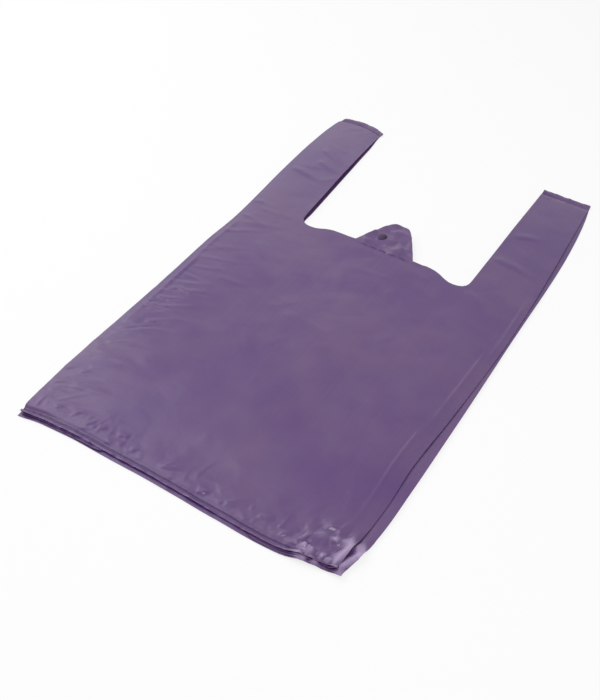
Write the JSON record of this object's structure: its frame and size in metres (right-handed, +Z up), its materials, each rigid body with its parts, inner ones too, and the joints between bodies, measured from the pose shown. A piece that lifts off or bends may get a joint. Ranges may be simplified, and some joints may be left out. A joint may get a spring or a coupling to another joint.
{
  "type": "plastic carrier bag",
  "caption": "Flat-lying vest-style carrier bag of thin purple film, with folded-in sides, a welded bottom, loop handles, an open mouth and a punched hanging tab.",
  "frame": {"origin": "middle of the bag's outline, on the face that it lies on", "axes": "+Y from the bottom weld towards the handles, +X across the bag, +Z up from the face it lies on"},
  "size_m": [0.28, 0.53, 0.003],
  "materials": {
    "film": "satin, pigmented polyethylene film"
  },
  "bodies": {
    "root": {"carrier_bag": "film"}
  },
  "joints": []
}
